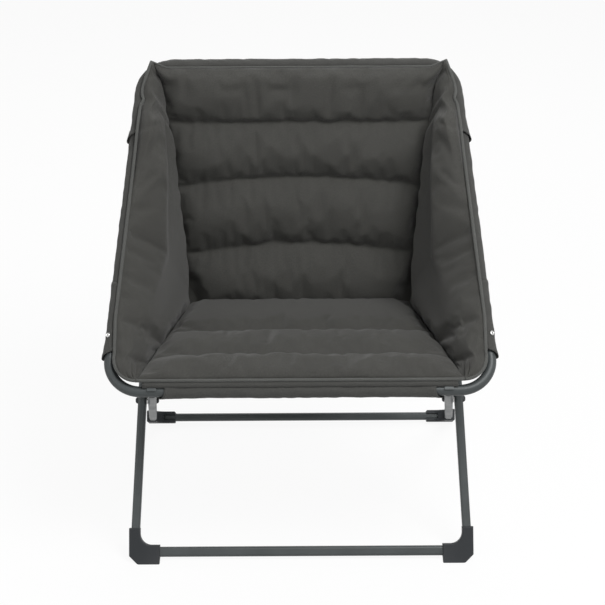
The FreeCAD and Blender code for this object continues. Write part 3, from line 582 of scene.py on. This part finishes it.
# Seat pad: the same quilt of polyester and fibre fill, flatter, sewn across into three rolls.
# It runs from the hem above the front rail down to the crease below the back pad, and narrows towards it.
SEAT_FRONT = Vector((0.0, -0.3202, 0.4275))
SEAT_BACK = SEAT_CORNER - SEAT_FRONT
SEAT_LONG = SEAT_BACK.length
SEAT_DIR = SEAT_BACK.normalized()
SEAT_UP = Vector((0.0, -SEAT_DIR.z, SEAT_DIR.y))
SEAT_HALF_FRONT = 0.330
SEAT_NARROWS = 0.084
SEAT_THIN = 0.008
SEAT_CROWN = 0.015
SEAT_REAR_SINKS = 0.011
SEAT_MOST_MOVE = 0.009
SEAT_CLOTH_WIDE = 0.6
SEAT_ROWS = 62
SEAT_COLS = 74
seat_seams = [0.0, 0.22, 0.54, 1.0]
front, rear = [], []
for i in range(SEAT_ROWS + 1):
    share = i / SEAT_ROWS
    height, near = roll(share, seat_seams)
    half = SEAT_HALF_FRONT - SEAT_NARROWS * share
    sinks = SEAT_REAR_SINKS * max(0.0, (share - 0.54) / 0.46)
    row_front, row_rear = [], []
    for j in range(SEAT_COLS + 1):
        across = 2 * j / SEAT_COLS - 1
        drawn = (1 - abs(across) ** 6) ** 0.5
        pucker = 0.0022 * math.exp(-near / 0.14) * noise.noise(Vector((across * 16.0, share * 3.0, 9.0))) * drawn
        thick = SEAT_THIN + (0.008 + (SEAT_CROWN - sinks) * height) * drawn
        base = SEAT_FRONT + SEAT_DIR * (SEAT_LONG * share) + Vector((half * across, 0, 0))
        row_front.append(base + SEAT_UP * (thick + pucker))
        row_rear.append(base + SEAT_UP * (0.002 - 0.004 * height * drawn))
    front.append(row_front)
    rear.append(row_rear)
seat_pad = sewn_pad("seat_quilt", front, rear,
                    lambda i, j: (SEAT_CLOTH_WIDE * (j / SEAT_COLS - 0.5), SEAT_LONG * i / SEAT_ROWS),
                    quilt_cloth, [round(SEAT_ROWS * s) for s in seat_seams], PRESSURE, SEAT_MOST_MOVE)
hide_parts("seat_pad")
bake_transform(seat_pad)

# Side wings: three-cornered pads of the same polyester and fibre fill, one on each side.
# They are sewn to the seat and back along their side seams, and hang from the ring's arm by a piped rim.
# Their outer lining lies inside the front leg.
LEG_FOOT = Vector((0.0, -0.291313, 0.016))
ARM_PIVOT = Vector((0.0, 0.136884, 0.792298))
LEG_DIR = (ARM_PIVOT - LEG_FOOT).normalized()
LEG_LONG = (ARM_PIVOT - LEG_FOOT).length
LEG_HALF_LOW = 0.350
LEG_HALF_HIGH = 0.30431
LEG_HALF_THICK = 0.009
LEG_HALF_DEEP = 0.014
LINING_GAP = 0.004
LINING_SLOPE = 1.2
LINING_BULGE = 0.003
WING_ROWS = 92
WING_COLS = 40
CORNER_SHARE = 0.47
WING_TILT = 0.25
WING_CLOTH_WIDE = 0.30
WING_CLOTH_LONG = 0.72
TOP_POINT = (SEAT_CORNER + BACK_UP * (BACK_TOP + BACK_EAR) + BACK_OUT * (back_layer(BACK_TOP) + SEAM_LIFT)
             + Vector((0.317, 0, 0)))


def inside_leg(point):
    # Keeps the lining inside the front leg where the two pass each other
    away = Vector((0.0, point.y, point.z)) - LEG_FOOT
    up = min(away.dot(LEG_DIR), LEG_LONG)
    off = (away - LEG_DIR * up).length
    inner = LEG_HALF_LOW + (LEG_HALF_HIGH - LEG_HALF_LOW) * up / LEG_LONG - LEG_HALF_THICK
    most = inner - LINING_GAP + max(0.0, off - LEG_HALF_DEEP) * LINING_SLOPE
    return Vector((min(point.x, most), point.y, point.z))


# The rim runs from the front corner of the seat round a bend, up the arm and over the ring's top corner
RIM_BEND = 0.045
RIM_BEND_LONG = 0.053
RIM_BEND_UP = 0.068
RIM_END_UP = 0.700
RIM_OUT = 0.0155
RIM_KINK_UP = 0.668
BEND_STEPS = 12
ARM_STEPS = 120
CORNER_STEPS = 8
rim = []
for index in range(BEND_STEPS + 1):
    angle = -math.pi / 2 + math.pi / 2 * index / BEND_STEPS
    rim.append(on_ring(SEAT_HALF_FRONT + RIM_BEND * math.cos(angle), RIM_BEND_UP + RIM_BEND_LONG * math.sin(angle),
                       RIM_OUT - 0.005 * math.sin(angle)))
for index in range(1, ARM_STEPS + 1):
    up = RIM_BEND_UP + (RIM_END_UP - RIM_BEND_UP) * index / ARM_STEPS
    out = RIM_OUT + 0.008 * math.exp(-((up - ARM_UP) / 0.04) ** 2)
    kink = 0.005 * math.exp(-((up - RIM_KINK_UP) / 0.009) ** 2)
    inset = 0.004 + 0.007 * max(0.0, 1 - index / 16) + kink
    rim.append(on_ring(ring_half(up) - inset, up, out))
last = rim[-1]
for index in range(1, CORNER_STEPS + 1):
    crown = 0.003 * math.sin(math.pi * index / CORNER_STEPS)
    rim.append(last.lerp(TOP_POINT, index / CORNER_STEPS) + RING_OUT * crown)
rim_long = [0.0]
for a, b in zip(rim, rim[1:]):
    rim_long.append(rim_long[-1] + (b - a).length)


def wing_edge(share):
    # Point of the rim at a share of its length
    reach = share * rim_long[-1]
    for index in range(1, len(rim)):
        if rim_long[index] >= reach - 1e-9:
            part = (reach - rim_long[index - 1]) / (rim_long[index] - rim_long[index - 1])
            return rim[index - 1].lerp(rim[index], part)
    return rim[-1].copy()


def wing_seam(share):
    # Point of the side seam: first along the seat to its corner, then up the back
    if share < CORNER_SHARE:
        along = share / CORNER_SHARE
        half = SEAT_HALF_FRONT - SEAT_NARROWS * along
        return SEAT_FRONT + SEAT_BACK * along + SEAT_UP * 0.005 + Vector((half, 0, 0))
    part = (share - CORNER_SHARE) / (1 - CORNER_SHARE)
    up = BACK_TOP * part
    seam = SEAT_CORNER + BACK_UP * (up + back_rise(part, 1.0)) + BACK_OUT * (back_layer(up) + SEAM_LIFT)
    return seam + Vector((back_half(up), 0, 0))


chords, inwards, linings, pushes = [], [], [], []
for i in range(WING_ROWS + 1):
    edge, seam = wing_edge(i / WING_ROWS), wing_seam(i / WING_ROWS)
    chord = seam - edge
    inward = Vector((-1.0, 0.0, 0.0))
    if chord.length > 1e-6:
        inward = inward - chord * (-chord.x / chord.length_squared)
    inwards.append((inward.normalized() + RING_OUT * WING_TILT).normalized())
    chords.append([edge.lerp(seam, j / WING_COLS) for j in range(WING_COLS + 1)])
    linings.append([inside_leg(point) for point in chords[-1]])
    pushes.append([(low - point).dot(inwards[-1]) for low, point in zip(linings[-1], chords[-1])])


def spread(grid, reach):
    # Mean of a grid of values along the wing, weighted by distance
    weights = [math.exp(-(step / reach) ** 2) for step in range(-2 * reach, 2 * reach + 1)]
    soft = []
    for i in range(WING_ROWS + 1):
        rows = [min(max(i + step, 0), WING_ROWS) for step in range(-2 * reach, 2 * reach + 1)]
        soft.append([sum(w * grid[r][j] for w, r in zip(weights, rows)) / sum(weights)
                     for j in range(WING_COLS + 1)])
    return soft


WING_FAT = 0.017
WING_FAT_SHARE = 0.22
WING_MOST_MOVE = 0.014
wide = spread(pushes, 11)
heights = []
for i in range(WING_ROWS + 1):
    fat = min(WING_FAT, WING_FAT_SHARE * (chords[i][-1] - chords[i][0]).length)
    heights.append([])
    for j in range(WING_COLS + 1):
        across = j / WING_COLS
        full = math.sin(math.pi * across) ** 0.5
        heights[i].append(max(wide[i][j] + 0.004 + fat * full, pushes[i][j] + 0.008 * full))
heights = spread(heights, 3)
front, rear = [], []
for i in range(WING_ROWS + 1):
    share = i / WING_ROWS
    row_front = []
    for j in range(WING_COLS + 1):
        across = j / WING_COLS
        full = math.sin(math.pi * across) ** 0.5
        fold = 0.012 * math.exp(-share / 0.065) * noise.noise(Vector((across * 8.0, share * 4.0, 6.0)))
        crease = (0.002 * noise.noise(Vector((share * 7.0, across * 4.0, 1.0))) + fold) * full
        row_front.append(chords[i][j] + inwards[i] * (max(heights[i][j], pushes[i][j] + 0.005 * full) + crease))
    front.append(row_front)
    rear.append([low - inwards[i] * LINING_BULGE * math.sin(math.pi * j / WING_COLS)
                 for j, low in enumerate(linings[i])])
    rear[-1][0], rear[-1][-1] = chords[i][0], chords[i][-1]
    front[-1][0], front[-1][-1] = chords[i][0], chords[i][-1]
for side, label in ((1, "right"), (-1, "left")):
    # The right wing's rows run the other way, so that the faces of both wings turn outwards
    inner, outer = ([[Vector((p.x * side, p.y, p.z)) for p in (reversed(row) if side > 0 else row)] for row in layer]
                    for layer in (front, rear))
    wing = sewn_pad("wing_quilt_" + label, inner, outer,
                    lambda i, j: (WING_CLOTH_WIDE * j / WING_COLS, WING_CLOTH_LONG * i / WING_ROWS),
                    quilt_cloth, [], PRESSURE, WING_MOST_MOVE)
    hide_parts("side_wing_" + label)
    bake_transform(wing)

# Piping: a folded strip of the same cloth, bound round the whole rim of the cover.
# A thicker hem closes the gap between the seat's front edge and the front sleeve,
# and a web does the same between the back's top edge and the top sleeve.
piping_cloth = cloth_finish("piping_cloth", (0.082, 0.084, 0.079), thread=900.0, slub=0.3, bump=0.0003, sheen=0.15)
PIPING = 0.0034
TOP_PIPING = 0.0022
TOP_PIPING_OUT = 0.0195
HEM = 0.0072
HEM_HALF = 0.316
HEM_UP = 0.0095
HEM_OUT = 0.0125
WEB = 0.0048
WEB_END = Vector((0.268, 0.2505, 0.8925))
RIM_POINTS = 140
TOP_POINTS = 120
STRIP_STEP = 0.008
STRIP_AROUND = 12
for side, label in ((1, "right"), (-1, "left")):
    path = []
    for i in range(RIM_POINTS + 1):
        point = wing_edge(i / RIM_POINTS) + RING_OUT * 0.002
        path.append(Vector((point.x * side, point.y, point.z)))
    piping, _ = cloth_tube("rim_piping_" + label, path, PIPING, piping_cloth, hem=0.0, around=STRIP_AROUND, thick=0.0)
    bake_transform(piping)
top_line = []
for index in range(TOP_POINTS + 1):
    across = 2 * index / TOP_POINTS - 1
    height = BACK_TOP + back_rise(1.0, across)
    aside = Vector((back_half(BACK_TOP) * across, 0, 0))
    top_line.append(SEAT_CORNER + BACK_UP * height + BACK_OUT * TOP_PIPING_OUT + aside)
front_line = run(Vector((-rim[0].x, rim[0].y, rim[0].z)), rim[0], STRIP_STEP)
hem_line = run(on_ring(-HEM_HALF, HEM_UP, HEM_OUT), on_ring(HEM_HALF, HEM_UP, HEM_OUT), STRIP_STEP)
web_line = run(Vector((-WEB_END.x, WEB_END.y, WEB_END.z)), WEB_END, STRIP_STEP)
for label, path, radius, cloth, body in (("top", top_line, TOP_PIPING, piping_cloth, "ring_rear"),
                                         ("front", front_line, PIPING, piping_cloth, "ring_front"),
                                         ("hem", hem_line, HEM, sleeve_cloth, "ring_front"),
                                         ("web", web_line, WEB, sleeve_cloth, "ring_rear")):
    for index, point in enumerate(path):
        sway = math.sin(math.pi * index / (len(path) - 1))
        point += RING_OUT * (0.001 + 0.0015 * sway * noise.noise(Vector((point.x * 14, 2.0, 0))))
    piping, _ = cloth_tube("rim_piping_" + label, path, radius, cloth, hem=0.0, around=STRIP_AROUND, thick=0.0)
    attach(piping, body)

# Studio: a wide pale floor under a plain white sky, lit by three soft square lamps.
# The key lamp stands high on the right, the fill lower on the left, and the third behind the chair.
# The camera stands at the photograph's height and angle.
FLOOR_HALF = 30
FLOOR_SHOWN_WHITE = 0.92
SKY_LIGHT = 0.31


def seen_rays(tree):
    # 1 for camera, glossy and transmission rays, which see the white background
    ray = put(tree, "ShaderNodeLightPath")
    seen = put(tree, "ShaderNodeMath", {"operation": "MAXIMUM"},
               i0=ray.outputs["Is Camera Ray"], i1=ray.outputs["Is Glossy Ray"])
    return put(tree, "ShaderNodeMath", {"operation": "MAXIMUM"},
               i0=seen.outputs[0], i1=ray.outputs["Is Transmission Ray"])


def show_white(material, shader):
    # The background is white to the rays that see it, and the floor keeps a soft shadow
    tree = material.node_tree
    seen = seen_rays(tree)
    part = put(tree, "ShaderNodeMath", {"operation": "MULTIPLY"}, i0=seen.outputs[0], i1=FLOOR_SHOWN_WHITE)
    glow = put(tree, "ShaderNodeEmission", Color=(1, 1, 1, 1), Strength=1.0)
    mix = put(tree, "ShaderNodeMixShader", i0=part.outputs[0], i1=shader, i2=glow.outputs[0])
    tree.links.new(mix.outputs[0], tree.nodes["Material Output"].inputs["Surface"])


floor_mesh = bpy.data.meshes.new("floor")
floor_corners = [(x * FLOOR_HALF, y * FLOOR_HALF, 0) for x, y in ((-1, -1), (1, -1), (1, 1), (-1, 1))]
floor_mesh.from_pydata(floor_corners, [], [(0, 1, 2, 3)])
floor = bpy.data.objects.new("floor", floor_mesh)
bpy.context.scene.collection.objects.link(floor)
pale_floor = bpy.data.materials.new("pale_floor")
pale_floor.use_nodes = True
floor_shader = pale_floor.node_tree.nodes["Principled BSDF"]
floor_shader.inputs["Base Color"].default_value = (0.86, 0.86, 0.86, 1)
floor_shader.inputs["Roughness"].default_value = 0.9
show_white(pale_floor, floor_shader.outputs[0])
floor_mesh.materials.append(pale_floor)

sky = bpy.data.worlds.new("studio")
sky.use_nodes = True
bpy.context.scene.world = sky
tree = sky.node_tree
level = put(tree, "ShaderNodeMapRange", Value=seen_rays(tree).outputs[0], To_Min=SKY_LIGHT, To_Max=1.0)
tree.nodes["Background"].inputs["Color"].default_value = (1, 1, 1, 1)
tree.links.new(level.outputs[0], tree.nodes["Background"].inputs["Strength"])
for name, place, aim, size, power in (("key", (1.3, -1.5, 3.3), (0, 0, 0.5), 1.6, 104.0),
                                      ("fill", (-2.2, -2.2, 1.9), (0, 0, 0.5), 2.4, 18.0),
                                      ("rim", (0.2, 2.4, 2.6), (0, 0, 0.6), 2.0, 35.0)):
    lamp = bpy.data.lights.new(name, "AREA")
    lamp.size = size
    lamp.energy = power
    holder = bpy.data.objects.new(name, lamp)
    bpy.context.scene.collection.objects.link(holder)
    holder.location = place
    holder.rotation_euler = (Vector(aim) - Vector(place)).to_track_quat("-Z", "Y").to_euler()

SENSOR = 36.0
FOCAL_PIXELS = 2000.0
PICTURE_PIXELS = 605.0
CAMERA_PLACE = (0.00536, -3.877773, 2.26737)
CAMERA_DOWN = 0.43695
CAMERA_ROLL = -0.0055085
eye = bpy.data.cameras.new("eye")
eye.sensor_width = SENSOR
eye.lens = SENSOR * FOCAL_PIXELS / PICTURE_PIXELS
camera = bpy.data.objects.new("camera", eye)
bpy.context.scene.collection.objects.link(camera)
camera.matrix_world = (Matrix.Translation(CAMERA_PLACE) @ Matrix.Rotation(math.pi / 2 - CAMERA_DOWN, 4, "X")
                       @ Matrix.Rotation(CAMERA_ROLL, 4, "Z"))
bpy.context.scene.camera = camera
bpy.context.scene.view_settings.view_transform = "Standard"
